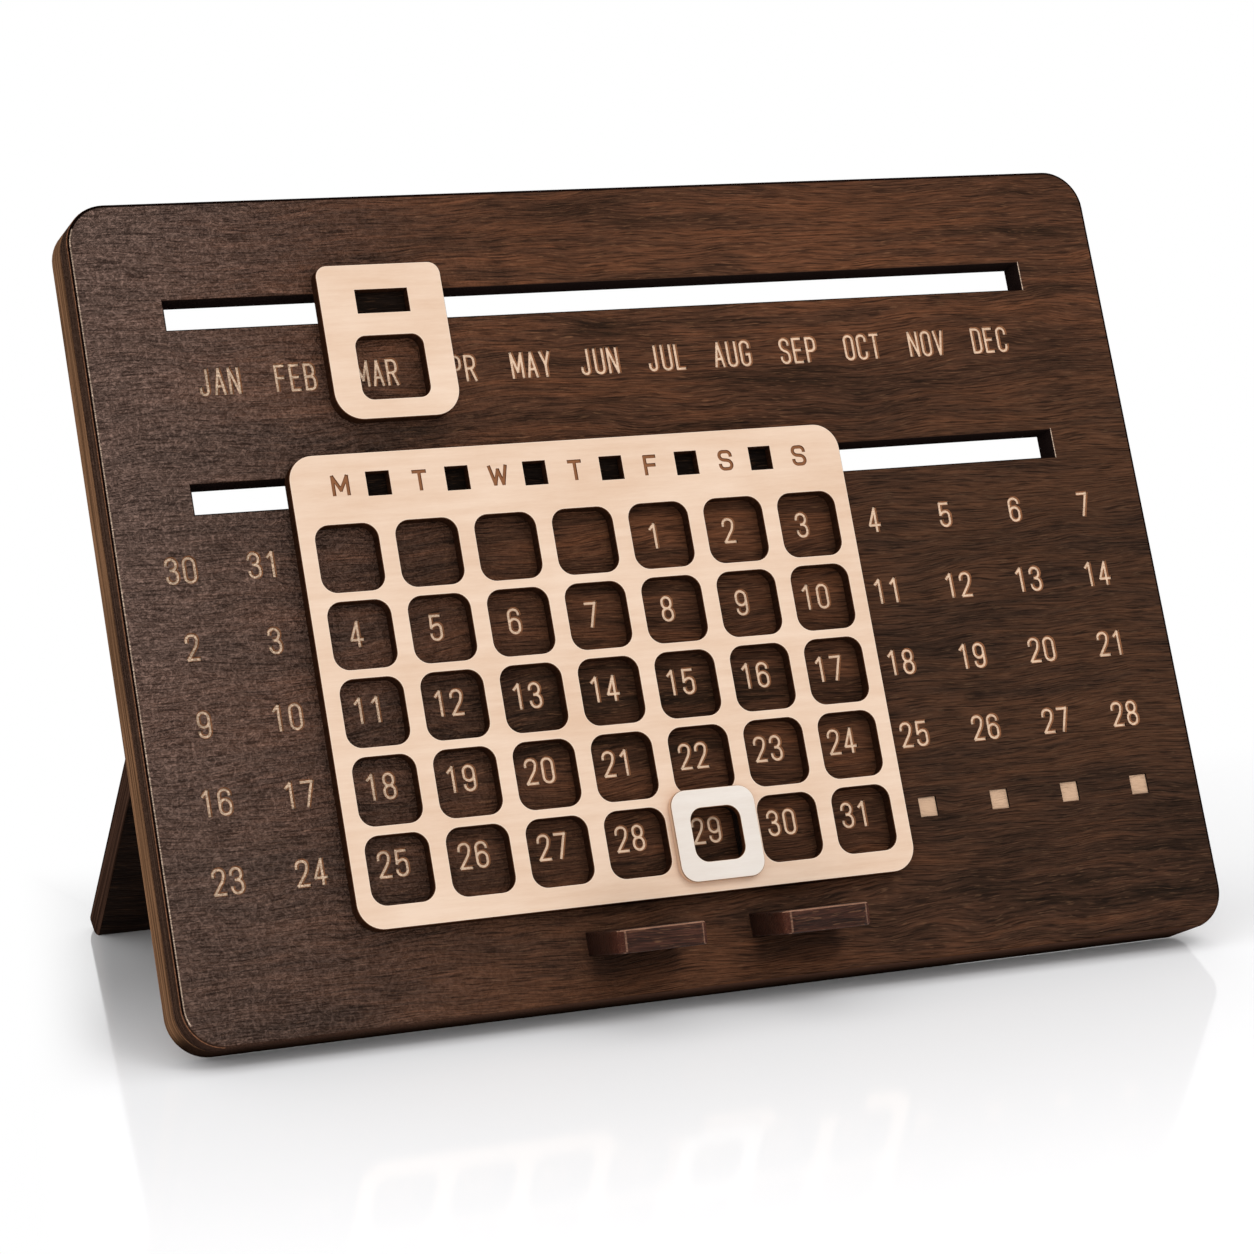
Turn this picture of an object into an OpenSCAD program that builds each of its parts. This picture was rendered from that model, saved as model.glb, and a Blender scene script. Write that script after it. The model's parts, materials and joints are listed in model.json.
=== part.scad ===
// Perpetual desk calendar.
// Two glued boards lean back on a hinged rear leg. A month slider and a week frame run in
// slots of the front board, a date marker plugs into any window of the frame, and two tabs
// carry a pen. Millimetres, Z up; the origin is the middle of the footprint on the desk.

/* [Boards] */
// Width of both boards
board_w = 300; // [290:1:360]
// Height of both boards along their slope
board_h = 220; // [212:1:280]
// Thickness of the front board
front_t = 8; // [6:0.5:10]
// Thickness of the rear board
rear_t = 8; // [7:0.5:14]
// Radius of the board corners
corner_r = 11; // [4:0.5:14]
// Backward lean of the boards from upright, in degrees
lean = 24; // [16:1:32]

/* [Slots] */
// Length of both slots
slot_l = 252; // [244:1:264]
// Height of both slots
slot_h = 8; // [6.5:0.5:10]
// Month slot line above the bottom edge
month_slot_y = 189.3; // [186:0.1:196]
// Week slot line above the bottom edge
week_slot_y = 140; // [138:0.1:142]
// Height of the channel behind each slot
channel_h = 18; // [17:0.5:22]
// Length that each channel runs past the end of its slot
channel_end = 5; // [1:0.5:8]

/* [Calendar grid] */
// Middle of the slots and of the number columns, from the middle of the board
pattern_x = -1; // [-3:0.5:3]
// Distance between the columns of numbers
column_pitch = 22; // [20:0.1:23]
// Distance between the rows of windows
row_pitch = 20.4; // [19.5:0.1:20.8]
// Distance between the rows of numbers
number_row_pitch = 20.1; // [19.5:0.1:20.8]
// Drop from the week slot line to the first row of numbers
number_drop = 18.3; // [16:0.1:20]
// Width and height of the four blank date squares
blank_w = 5.4; // [3:0.1:8]
// Depth of the blank date squares
blank_d = 0.6; // [0.2:0.1:2]

/* [Month slider] */
// Width of the month slider
slider_w = 34.9; // [32:0.1:40]
// Rise of the slider above the month slot line
slider_up = 10.2; // [8:0.1:12]
// Drop of the slider below the month slot line
slider_down = 32; // [30:0.1:33]
// Corner radius at the top of the slider
slider_top_r = 3.3; // [1:0.1:6]
// Corner radius at the bottom of the slider
slider_foot_r = 7.5; // [2:0.1:10]
// Width of the month window
month_window_w = 18.9; // [14:0.1:24]
// Height of the month window
month_window_h = 17.2; // [12:0.1:20]
// Corner radius of the month window
month_window_r = 3; // [1:0.1:5]
// Drop from the month slot line to the middle of the month window
month_window_drop = 18.1; // [17:0.1:20]
// Length of the month runner in its slot
month_runner_l = 24; // [20:0.5:28]
// Width of the tenon that holds the month slider
month_tenon_w = 14.5; // [8:0.1:16]
// Resting place of the month slider, from the middle
month_x = -68.7; // [-105:0.1:105]

/* [Week frame] */
// Thickness of the month slider and the week frame
plate_t = 4; // [3:0.1:6]
// Width of the date windows
window_w = 17.2; // [15:0.1:18]
// Height of the date windows
window_h = 17.8; // [15:0.1:18.2]
// Corner radius of the date windows
window_r = 4; // [1:0.1:6]
// Drop from the week slot line to the middle of the first windows
window_drop = 19.3; // [18:0.1:20]
// Wood left and right of the windows
frame_side = 4.55; // [3:0.05:8]
// Wood under the last windows
frame_foot = 6.1; // [4:0.1:8]
// Rise of the frame above the week slot line
frame_up = 8.5; // [8:0.1:11]
// Outer corner radius of the frame
frame_r = 7; // [2:0.1:9]
// Wood of the week runner past its outer tenons
week_runner_end = 0.85; // [0.5:0.05:6]
// Width and height of the six square tenons
tenon_w = 6.3; // [4:0.1:6.4]
// Resting place of the frame, in columns from the middle
week_column = -1; // [-2:1:2]

/* [Runners] */
// Height of both tenons of the sliders inside their plates
tenon_h = 1.2; // [0.6:0.1:2.5]
// Height of the month tenon across the slot
month_tenon_h = 6.3; // [4:0.1:6.3]
// Height of the keepers behind the slots
keeper_h = 15.6; // [13:0.1:16]
// Thickness of the keepers
keeper_t = 3; // [2.5:0.1:5]

/* [Date marker] */
// Width of the date marker
marker_w = 24.2; // [22:0.1:28]
// Height of the date marker
marker_h = 24.5; // [22:0.1:26]
// Thickness of the date marker
marker_t = 2; // [1:0.1:4]
// Outer corner radius of the date marker
marker_r = 4.5; // [2:0.1:7]
// Width of the hole in the date marker
marker_hole_w = 14.2; // [11:0.1:14.2]
// Height of the hole in the date marker
marker_hole_h = 14.2; // [11:0.1:14.4]
// Corner radius of that hole
marker_hole_r = 3.5; // [1:0.1:5]
// Wall of the spigot behind the marker
spigot_wall = 1.3; // [1:0.1:1.4]
// Depth of the spigot in its window
spigot_d = 3; // [2:0.1:3]
// Column of the marked window
marker_column = 5; // [1:1:7]
// Row of the marked window
marker_row = 5; // [1:1:5]

/* [Pen ledge] */
// Width of each ledge tab
tab_w = 25.2; // [18:0.1:30]
// Thickness of each ledge tab
tab_t = 6; // [4:0.1:8]
// Reach of each tab in front of the board
tab_out = 21.3; // [12:0.1:30]
// Tilt of the tabs below square to the board, in degrees
tab_tilt = 9; // [0:1:14]
// Height of the tabs above the bottom edge
tab_y = 15; // [12:0.1:17]
// Distance between the middles of the tabs
tab_pitch = 46.8; // [40:0.1:80]
// Middle of the pair of tabs, from the middle of the board
tab_x = -4; // [-20:1:20]
// Corner radius at the tip of the tabs
tab_r = 2.4; // [0.5:0.1:4]

/* [Rear leg] */
// Width of the leg
leg_w = 260; // [230:1:270]
// Thickness of the leg
leg_t = 8.4; // [7.5:0.1:12]
// Angle between the leg and the boards when it stands, in degrees
leg_open = 59; // [50:1:64]
// Height of the hinge line above the bottom edge
hinge_y = 116; // [105:0.5:118]
// Corner radius of the leg
leg_r = 5; // [1:0.5:12]

/* [Hinges] */
// Distance of each hinge from its end of the leg
hinge_in = 40; // [25:1:80]
// Length of each hinge
leaf_l = 24; // [18:0.5:34]
// Width of each leaf from the pin
leaf_w = 16; // [12:0.5:22]
// Thickness of each leaf
leaf_t = 1; // [0.8:0.1:1.2]
// Distance from the pin's axis to the wood
pin_off = 2.6; // [2.5:0.1:3.5]
// Outer radius of the knuckles
knuckle_r = 2.3; // [2:0.1:2.3]
// Radius of the hinge pins
pin_r = 1; // [0.8:0.05:1.2]
// Radius of the pin heads
pin_head_r = 1.6; // [1.4:0.1:2]
// Length of the pin heads
pin_head_l = 0.8; // [0.4:0.1:1.5]
// Distance from each leaf screw to the middle of the leaf
leaf_screw_x = 7; // [5:0.5:9]

/* [Screws] */
// Radius of the screw shanks
screw_r = 1; // [0.7:0.05:1.2]
// Radius of the countersunk heads
head_r = 2; // [1.7:0.05:2.3]
// Length of the leaf screws
leaf_screw_l = 7; // [4:0.1:8]
// Length of the keeper screws
keeper_screw_l = 7.5; // [4:0.1:9]
// Width and depth of the driver slots
drive = 0.5; // [0.3:0.05:0.8]
// Distance from the end of a keeper to its end screw
keeper_screw_in = 5; // [3.5:0.5:8]

/* [Fits] */
// Gap between a sliding plate or keeper and the board
slide_gap = 0.3; // [0.2:0.05:0.5]
// Gap between a runner and each side of its slot
runner_fit = 0.25; // [0.15:0.05:0.5]
// Gap around a glued tenon or tab
tenon_fit = 0.05; // [0.02:0.01:0.15]
// Gap between the spigot and its window
spigot_fit = 0.15; // [0.1:0.05:0.3]
// Gap under the date marker
marker_gap = 0.2; // [0.1:0.05:0.4]
// Running fit of the pins in the knuckles
pin_fit = 0.05; // [0.02:0.01:0.1]
// Gap around the screws
screw_fit = 0.02; // [0.01:0.01:0.05]
// Gap between moving hinge parts, and at the leg's stop
hinge_gap = 0.3; // [0.2:0.05:0.5]

/* [Hidden] */
$fn = 64;

days = 7;
weeks = 5;
number_columns = 13;
blank_columns = 4;
month_screws = 2;
week_screws = 4;
eps = 1;

stack_t = front_t + rear_t;
runner_h = slot_h - 2 * runner_fit;
frame_w = (days - 1) * column_pitch + window_w + 2 * frame_side;
frame_down = window_drop + (weeks - 1) * row_pitch + window_h / 2 + frame_foot;
week_runner_l = (days - 2) * column_pitch + tenon_w + 2 * week_runner_end;
week_x = pattern_x + week_column * column_pitch;
marker_x = week_x + (marker_column - (days + 1) / 2) * column_pitch;
marker_y = week_slot_y - window_drop - (marker_row - 1) * row_pitch;
plate_z = slide_gap;
marker_z = plate_z + plate_t + marker_gap;
keeper_z = -front_t - slide_gap;
head_h = head_r - screw_r;
hinge_x = leg_w / 2 - hinge_in;

// Side view of the assembly: [Y, Z] of a point that lies up the boards by y and in front of
// their face by z, measured from under the front bottom edge.
function side(y, z) =
    [y * sin(lean) - z * cos(lean), y * cos(lean) + (z + stack_t) * sin(lean)];
// The hinge line, and the turn of the leg from lying flat on the desk.
pin_yz = side(hinge_y, -stack_t - pin_off);
leg_turn = 90 - lean + leg_open;
// Distance down the leg from the hinge line to the desk, at depth z behind the pin.
function to_desk(z) = (pin_yz[1] - z * cos(leg_turn)) / sin(leg_turn);
// Distance up the leg from the hinge line to the rear board, at the same depth.
function to_board(z) = (pin_off - hinge_gap + z * cos(leg_open)) / sin(leg_open);
leg_back = pin_off + leg_t;

// Front and back of the footprint: the tip of the tabs and the heel of the leg.
tip = side(tab_y, 0) + tab_out * [-cos(lean - tab_tilt), sin(lean - tab_tilt)]
    - tab_t / 2 * [sin(lean - tab_tilt), cos(lean - tab_tilt)];
heel = pin_yz[0] + to_desk(leg_back) * -cos(leg_turn) + leg_back * sin(leg_turn);
mid_y = (tip[0] + heel) / 2;

// ---- Places ----

// On the face of the boards: x along them, y up their slope, z out of the front.
module on_board() {
    translate([0, -mid_y, stack_t * sin(lean)])
        rotate([90 - lean, 0, 0])
            children();
}

// At the hinge line, turned with the boards.
module at_hinge() {
    on_board()
        translate([0, hinge_y, -stack_t - pin_off])
            children();
}

// At the hinge line, turned with the leg.
module on_leg() {
    at_hinge()
        rotate([leg_open, 0, 0])
            children();
}

module at_month() {
    translate([month_x, month_slot_y, 0])
        children();
}

module at_week() {
    translate([week_x, week_slot_y, 0])
        children();
}

// ---- Outlines ----

// A rectangle about the origin with round corners.
module rounded(w, h, r) {
    square([w - 2 * r, h], center = true);
    square([w, h - 2 * r], center = true);
    for (x = [-1, 1], y = [-1, 1])
        translate([x * (w / 2 - r), y * (h / 2 - r)])
            circle(r = r);
}

// A plate that reaches up and down from its slot line, with its own radius at each end.
module plate_outline(w, up, down, top_r, foot_r) {
    translate([-w / 2, foot_r - down])
        square([w, up + down - top_r - foot_r]);
    translate([top_r - w / 2, up - top_r])
        square([w - 2 * top_r, top_r]);
    translate([foot_r - w / 2, -down])
        square([w - 2 * foot_r, foot_r]);
    for (x = [-1, 1]) {
        translate([x * (w / 2 - top_r), up - top_r])
            circle(r = top_r);
        translate([x * (w / 2 - foot_r), foot_r - down])
            circle(r = foot_r);
    }
}

// Solid between two heights.
module slab(z0, z1) {
    translate([0, 0, z0])
        linear_extrude(z1 - z0)
            children();
}

// ---- Fasteners ----

// A countersunk screw, head flush at the origin and point down; grow fattens it for its hole.
module screw_body(l, grow) {
    translate([0, 0, -head_h])
        cylinder(r1 = screw_r + grow, r2 = head_r + grow, h = head_h);
    translate([0, 0, -l - grow])
        cylinder(r = screw_r + grow, h = l + grow);
}

module screw(l) {
    difference() {
        screw_body(l, 0);
        translate([0, 0, 0])
            cube([2 * head_r + eps, drive, 2 * drive], center = true);
    }
}

// Screws of a leaf on the rear board, seen from the hinge line; the leg's are their mirror.
module at_leaf_screws() {
    for (side = [-1, 1], x = [-1, 1])
        translate([side * hinge_x + x * leaf_screw_x, -(leaf_w + knuckle_r) / 2, pin_off - leaf_t])
            mirror([0, 0, 1])
                children();
}

// Screws of a keeper of length l, seen from its slot line.
module at_keeper_screws(l, count) {
    run = l - 2 * keeper_screw_in;
    for (i = [0 : count - 1])
        translate([i * run / (count - 1) - run / 2, 0, keeper_z - keeper_t])
            mirror([0, 0, 1])
                children();
}

// ---- Boards ----

// The sloping holes that the ledge tabs are glued into.
module tab_holes() {
    for (x = [-1, 1])
        translate([tab_x + x * tab_pitch / 2, tab_y, 0])
            rotate([tab_tilt, 0, 0])
                cube([
                    tab_w + 2 * tenon_fit,
                    tab_t + 2 * tenon_fit,
                    3 * (stack_t + tab_t)
                ], center = true);
}

module front_board() {
    color("#4a3226")
        on_board()
            difference() {
                translate([0, board_h / 2, 0])
                    slab(-front_t, 0)
                        rounded(board_w, board_h, corner_r);
                for (y = [month_slot_y, week_slot_y])
                    translate([pattern_x, y, -front_t / 2])
                        cube([slot_l, slot_h, front_t + 2 * eps], center = true);
                blank_squares();
                tab_holes();
            }
}

// The squares that fill the last row of numbers, from the right.
module blank_squares() {
    for (i = [0 : blank_columns - 1])
        translate([
            pattern_x + ((number_columns - 1) / 2 - i) * column_pitch,
            week_slot_y - number_drop - (weeks - 1) * number_row_pitch,
            0
        ])
            cube([blank_w, blank_w, 2 * blank_d], center = true);
}

module rear_board() {
    color("#6b4a34")
        on_board()
            difference() {
                translate([0, board_h / 2, 0])
                    slab(-stack_t, -front_t)
                        rounded(board_w, board_h, corner_r);
                for (y = [month_slot_y, week_slot_y])
                    translate([pattern_x, y, -front_t - rear_t / 2])
                        cube([slot_l + 2 * channel_end, channel_h, rear_t + 2 * eps], center = true);
                tab_holes();
                translate([0, hinge_y, -stack_t - pin_off])
                    at_leaf_screws()
                        screw_body(leaf_screw_l, screw_fit);
            }
}

// A pen-ledge tab, cut flush at the back of the boards.
module ledge_tab(x) {
    reach = stack_t + tab_t;
    color("#4a3226")
        on_board()
            difference() {
                translate([x, tab_y, 0])
                    rotate([tab_tilt, 0, 0])
                        rotate([90, 0, 0])
                            linear_extrude(tab_t, center = true)
                                plate_outline(tab_w, tab_out, reach, tab_r, tab_r);
                translate([x, tab_y, -stack_t - reach])
                    cube([2 * tab_w, 4 * reach, 2 * reach], center = true);
            }
}

module ledge_tab_left() {
    ledge_tab(tab_x - tab_pitch / 2);
}

module ledge_tab_right() {
    ledge_tab(tab_x + tab_pitch / 2);
}

// ---- Month slider ----

module month_slider() {
    color("#f0ddc8")
        on_board()
            at_month()
                slab(plate_z, plate_z + plate_t)
                    difference() {
                        plate_outline(slider_w, slider_up, slider_down, slider_top_r, slider_foot_r);
                        square([month_tenon_w, month_tenon_h], center = true);
                        translate([0, -month_window_drop])
                            rounded(month_window_w, month_window_h, month_window_r);
                    }
}

// A runner of length l between the plate and the keeper, with its tenons as children.
module runner(l, screws) {
    difference() {
        union() {
            slab(keeper_z, plate_z)
                square([l, runner_h], center = true);
            slab(plate_z - eps, plate_z + tenon_h)
                children();
        }
        at_keeper_screws(l, screws)
            screw_body(keeper_screw_l, screw_fit);
    }
}

module month_runner() {
    color("#3a271d")
        on_board()
            at_month()
                runner(month_runner_l, month_screws)
                    square([
                        month_tenon_w - 2 * tenon_fit,
                        month_tenon_h - 2 * tenon_fit
                    ], center = true);
}

module keeper(l, screws) {
    difference() {
        slab(keeper_z - keeper_t, keeper_z)
            square([l, keeper_h], center = true);
        at_keeper_screws(l, screws)
            screw_body(keeper_screw_l, screw_fit);
    }
}

module month_keeper() {
    color("#8a6546")
        on_board()
            at_month()
                keeper(month_runner_l, month_screws);
}

module month_keeper_screws() {
    color("#c9a24b")
        on_board()
            at_month()
                at_keeper_screws(month_runner_l, month_screws)
                    screw(keeper_screw_l);
}

// ---- Week frame ----

// The middles of the square tenons, between the weekday letters.
module at_tenons() {
    for (i = [1 : days - 1])
        translate([(i - days / 2) * column_pitch, 0])
            children();
}

module week_frame() {
    color("#f0ddc8")
        on_board()
            at_week()
                slab(plate_z, plate_z + plate_t)
                    difference() {
                        plate_outline(frame_w, frame_up, frame_down, frame_r, frame_r);
                        at_tenons()
                            square(tenon_w, center = true);
                        for (i = [0 : days - 1], j = [0 : weeks - 1])
                            translate([
                                (i - (days - 1) / 2) * column_pitch,
                                -window_drop - j * row_pitch
                            ])
                                rounded(window_w, window_h, window_r);
                    }
}

module week_runner() {
    color("#3a271d")
        on_board()
            at_week()
                runner(week_runner_l, week_screws)
                    at_tenons()
                        square(tenon_w - 2 * tenon_fit, center = true);
}

module week_keeper() {
    color("#8a6546")
        on_board()
            at_week()
                keeper(week_runner_l, week_screws);
}

module week_keeper_screws() {
    color("#c9a24b")
        on_board()
            at_week()
                at_keeper_screws(week_runner_l, week_screws)
                    screw(keeper_screw_l);
}

// ---- Date marker ----

module date_marker() {
    color("#f4eee6")
        on_board()
            translate([marker_x, marker_y, 0])
                slab(marker_z, marker_z + marker_t)
                    difference() {
                        rounded(marker_w, marker_h, marker_r);
                        rounded(marker_hole_w, marker_hole_h, marker_hole_r);
                    }
}

// The frame behind the marker that plugs into a window of the week frame.
module marker_spigot() {
    w = window_w - 2 * spigot_fit;
    h = window_h - 2 * spigot_fit;
    r = window_r - spigot_fit;
    color("#4a3226")
        on_board()
            translate([marker_x, marker_y, 0])
                slab(marker_z - spigot_d, marker_z)
                    difference() {
                        rounded(w, h, r);
                        rounded(w - 2 * spigot_wall, h - 2 * spigot_wall, max(r - spigot_wall, 0.5));
                    }
}

// ---- Rear leg ----

// A plate with a bevelled foot that lies flat on the desk and a bevelled head that stops
// against the rear board.
module rear_leg() {
    foot = max(to_desk(leg_back), to_desk(pin_off));
    head = max(to_board(leg_back), to_board(pin_off));
    color("#4a3226")
        on_leg()
            difference() {
                intersection() {
                    rotate([90, 0, 90])
                        linear_extrude(leg_w, center = true)
                            polygon([
                                [to_board(pin_off), -pin_off],
                                [to_board(leg_back), -leg_back],
                                [-to_desk(leg_back), -leg_back],
                                [-to_desk(pin_off), -pin_off]
                            ]);
                    translate([0, (head - foot) / 2, 0])
                        slab(-leg_back - eps, eps)
                            rounded(leg_w, head + foot, leg_r);
                }
                mirror([0, 0, 1])
                    at_leaf_screws()
                        screw_body(leaf_screw_l, screw_fit);
            }
}

// ---- Hinges ----

// One leaf on the wood above the pin's axis; its knuckles are the children's ranges of x.
module leaf(x, knuckles) {
    difference() {
        union() {
            translate([x - leaf_l / 2, -leaf_w, pin_off - leaf_t])
                cube([leaf_l, leaf_w - knuckle_r - hinge_gap, leaf_t]);
            for (k = knuckles)
                translate([x + k[0], 0, 0]) {
                    rotate([0, 90, 0])
                        cylinder(r = knuckle_r, h = k[1] - k[0]);
                    translate([0, -knuckle_r - hinge_gap - leaf_t, pin_off - leaf_t])
                        cube([k[1] - k[0], knuckle_r + hinge_gap + leaf_t, knuckle_r - pin_off + leaf_t]);
                }
        }
        translate([x - leaf_l, 0, 0])
            rotate([0, 90, 0])
                cylinder(r = pin_r + pin_fit, h = 2 * leaf_l);
        at_leaf_screws()
            screw_body(leaf_screw_l, screw_fit);
    }
}

module board_leaf(x) {
    color("#c9a24b")
        at_hinge()
            leaf(x, [
                [-leaf_l / 2, -leaf_l / 6],
                [leaf_l / 6, leaf_l / 2]
            ]);
}

module leg_leaf(x) {
    color("#c9a24b")
        on_leg()
            mirror([0, 0, 1])
                leaf(x, [[hinge_gap - leaf_l / 6, leaf_l / 6 - hinge_gap]]);
}

module hinge_pin(x) {
    color("#b8923f")
        at_hinge()
            translate([x, 0, 0])
                rotate([0, 90, 0]) {
                    cylinder(r = pin_r, h = leaf_l + pin_head_l, center = true);
                    for (s = [-1, 1])
                        translate([0, 0, s * (leaf_l + pin_head_l) / 2])
                            cylinder(r = pin_head_r, h = pin_head_l, center = true);
                }
}

module board_leaf_left() {
    board_leaf(-hinge_x);
}

module board_leaf_right() {
    board_leaf(hinge_x);
}

module leg_leaf_left() {
    leg_leaf(-hinge_x);
}

module leg_leaf_right() {
    leg_leaf(hinge_x);
}

module hinge_pin_left() {
    hinge_pin(-hinge_x);
}

module hinge_pin_right() {
    hinge_pin(hinge_x);
}

module board_leaf_screws() {
    color("#c9a24b")
        at_hinge()
            at_leaf_screws()
                screw(leaf_screw_l);
}

module leg_leaf_screws() {
    color("#c9a24b")
        on_leg()
            mirror([0, 0, 1])
                at_leaf_screws()
                    screw(leaf_screw_l);
}

front_board();
rear_board();
ledge_tab_left();
ledge_tab_right();
month_slider();
month_runner();
month_keeper();
month_keeper_screws();
week_frame();
week_runner();
week_keeper();
week_keeper_screws();
date_marker();
marker_spigot();
rear_leg();
board_leaf_left();
board_leaf_right();
leg_leaf_left();
leg_leaf_right();
hinge_pin_left();
hinge_pin_right();
board_leaf_screws();
leg_leaf_screws();
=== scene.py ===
import json
import math

import bmesh
import bpy
from mathutils import Matrix, Vector

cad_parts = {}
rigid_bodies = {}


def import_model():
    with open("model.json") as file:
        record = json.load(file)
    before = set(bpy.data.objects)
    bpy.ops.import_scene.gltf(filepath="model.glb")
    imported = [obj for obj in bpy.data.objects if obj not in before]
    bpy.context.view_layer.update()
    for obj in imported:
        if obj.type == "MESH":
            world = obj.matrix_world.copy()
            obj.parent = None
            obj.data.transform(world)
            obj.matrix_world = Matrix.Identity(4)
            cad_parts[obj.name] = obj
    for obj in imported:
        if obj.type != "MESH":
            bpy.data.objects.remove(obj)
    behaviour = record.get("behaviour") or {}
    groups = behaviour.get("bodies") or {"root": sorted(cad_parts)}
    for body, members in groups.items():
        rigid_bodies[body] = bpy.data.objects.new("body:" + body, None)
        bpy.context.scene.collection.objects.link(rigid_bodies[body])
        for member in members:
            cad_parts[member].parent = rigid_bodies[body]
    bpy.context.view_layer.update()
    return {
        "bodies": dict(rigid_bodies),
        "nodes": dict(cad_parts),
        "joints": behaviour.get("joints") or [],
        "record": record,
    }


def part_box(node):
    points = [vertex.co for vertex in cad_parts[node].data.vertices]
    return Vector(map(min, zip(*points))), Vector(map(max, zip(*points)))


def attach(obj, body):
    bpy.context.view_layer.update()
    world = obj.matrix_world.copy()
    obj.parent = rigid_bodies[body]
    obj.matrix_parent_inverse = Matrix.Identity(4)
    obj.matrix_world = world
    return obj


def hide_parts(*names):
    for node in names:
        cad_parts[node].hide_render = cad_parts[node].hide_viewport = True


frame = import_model()
MM = 0.001

# ---------------------------------------------------------------------------------------
# The camera. It stands to the reader's left, a little above the calendar, about a metre
# away, with a long lens that keeps the board's edges nearly parallel.

eye = Vector((-442.87, -977.94, 288.43)) * MM
sight_right = Vector((0.91114, -0.41208, -0.00116))
sight_up = Vector((0.07602, 0.16534, 0.98330))
sight_back = Vector((-0.40501, -0.89602, 0.18197))

lens = bpy.data.cameras.new("desk_camera")
lens.sensor_width = 36.0
lens.lens = 115.28
lens.clip_start, lens.clip_end = 0.05, 60.0
camera = bpy.data.objects.new("desk_camera", lens)
turn = Matrix((sight_right, sight_up, sight_back)).transposed().to_4x4()
camera.matrix_world = Matrix.Translation(eye) @ turn
bpy.context.scene.collection.objects.link(camera)
bpy.context.scene.camera = camera
bpy.context.scene.view_settings.view_transform = "Standard"


# ---------------------------------------------------------------------------------------
# The desk and the studio. A glossy white top runs away into a white room; one large soft
# box hangs in front of the calendar and a weaker one fills its left side. All in metres.

class Wire:
    """A value on its way through a shader tree. Sums and products of wires add Math nodes."""

    def __init__(self, tree, socket=None):
        self.tree, self.socket = tree, socket

    def node(self, kind, settings=None, links=None, out=0):
        """Adds a node: its settings first, then a value or a wire for each socket named in links."""
        made = self.tree.nodes.new(kind)
        for key, value in (settings or {}).items():
            if key == "stops":
                ramp = made.color_ramp.elements
                while len(ramp) < len(value):
                    ramp.new(0.5)
                for stop, (place, shade) in zip(ramp, value):
                    stop.position, stop.color = place, (*shade, 1)
            else:
                setattr(made, key, value)
        for key, value in (links or {}).items():
            if isinstance(value, Wire):
                self.tree.links.new(value.socket, made.inputs[key])
            else:
                made.inputs[key].default_value = value
        return Wire(self.tree, made.outputs[out] if made.outputs else None)

    def math(self, operation, *values):
        """A Math node on the given values and wires."""
        return self.node("ShaderNodeMath", {"operation": operation}, dict(enumerate(values)))

    def __add__(self, other):
        return self.math("ADD", self, other)

    def __sub__(self, other):
        return self.math("SUBTRACT", self, other)

    def __rsub__(self, other):
        return self.math("SUBTRACT", other, self)

    def __mul__(self, other):
        return self.math("MULTIPLY", self, other)

    def __lt__(self, other):
        return self.math("LESS_THAN", self, other)

    def __gt__(self, other):
        return self.math("GREATER_THAN", self, other)

    __radd__, __rmul__ = __add__, __mul__

    def fade(self, low, high, start=0.0, end=1.0):
        """Goes smoothly from start at low to end at high."""
        return self.node("ShaderNodeMapRange", {"interpolation_type": "SMOOTHSTEP"},
                         {0: self, 1: low, 2: high, 3: start, 4: end})

    def tint(self, other, share, blend="MIX"):
        """This colour with other laid over it by share."""
        return self.node("ShaderNodeMix", {"data_type": "RGBA", "blend_type": blend},
                         {0: share, 6: self, 7: other}, out=2)

    def ramp(self, *stops):
        """A colour for this value, between the stops, each a value and a tone."""
        return self.node("ShaderNodeValToRGB", {"stops": stops}, {0: self})

    def grey(self):
        """This value as a grey, to brighten or darken a colour with."""
        return self.node("ShaderNodeCombineColor", links={0: self, 1: self, 2: self})

    def noise(self, detail, rough, scale=1.0):
        """Noise over this place."""
        return self.node("ShaderNodeTexNoise", {"noise_dimensions": "3D"},
                         {"Vector": self, "Scale": scale, "Detail": detail, "Roughness": rough})

    def parts(self):
        """The x, y and z of this vector."""
        return [self.node("ShaderNodeSeparateXYZ", links={0: self}, out=i) for i in range(3)]


def colour(red, green, blue):
    """A colour given as it looks on a screen, 0 to 255, as the shaders want it."""
    linear = [((c / 255 + 0.055) / 1.055) ** 2.4 if c > 10 else c / 3295 for c in (red, green, blue)]
    return (*linear, 1)


def tone(red, green, blue):
    """The same colour without its alpha, as ramps want it."""
    return colour(red, green, blue)[:3]


def new_material(name):
    """An empty material and a wire to start its nodes from."""
    made = bpy.data.materials.new(name)
    made.use_nodes = True
    made.node_tree.nodes.clear()
    return made, Wire(made.node_tree)


desk_size = 15.0
desk = bpy.data.meshes.new("desk_top")
desk.from_pydata([(x * desk_size, y * desk_size, 0) for x, y in ((-1, -1), (1, -1), (1, 1), (-1, 1))],
                 [], [(0, 1, 2, 3)])
desk = bpy.data.objects.new("desk_top", desk)
bpy.context.scene.collection.objects.link(desk)

desk_white, wire = new_material("desk_white")
place = wire.node("ShaderNodeTexCoord", out=3)
across, depth = place.parts()[:2]
away = place.node("ShaderNodeVectorMath", {"operation": "LENGTH"}, {0: place}, out=1)
matt = wire.node("ShaderNodeBsdfDiffuse", links={"Color": (0.96, 0.96, 0.97, 1)})
# A little light of its own brightens the top towards the reader; under the boards it stays darker.
lift = depth.fade(-0.08, -0.03, 0.11, 0.03).grey()
lift = wire.node("ShaderNodeEmission", links={"Color": lift, "Strength": 1.0})
matt = wire.node("ShaderNodeAddShader", links={0: matt, 1: lift})
gloss = wire.node("ShaderNodeBsdfGlossy", links={"Color": (1, 1, 1, 1), "Roughness": 0.08})
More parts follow.
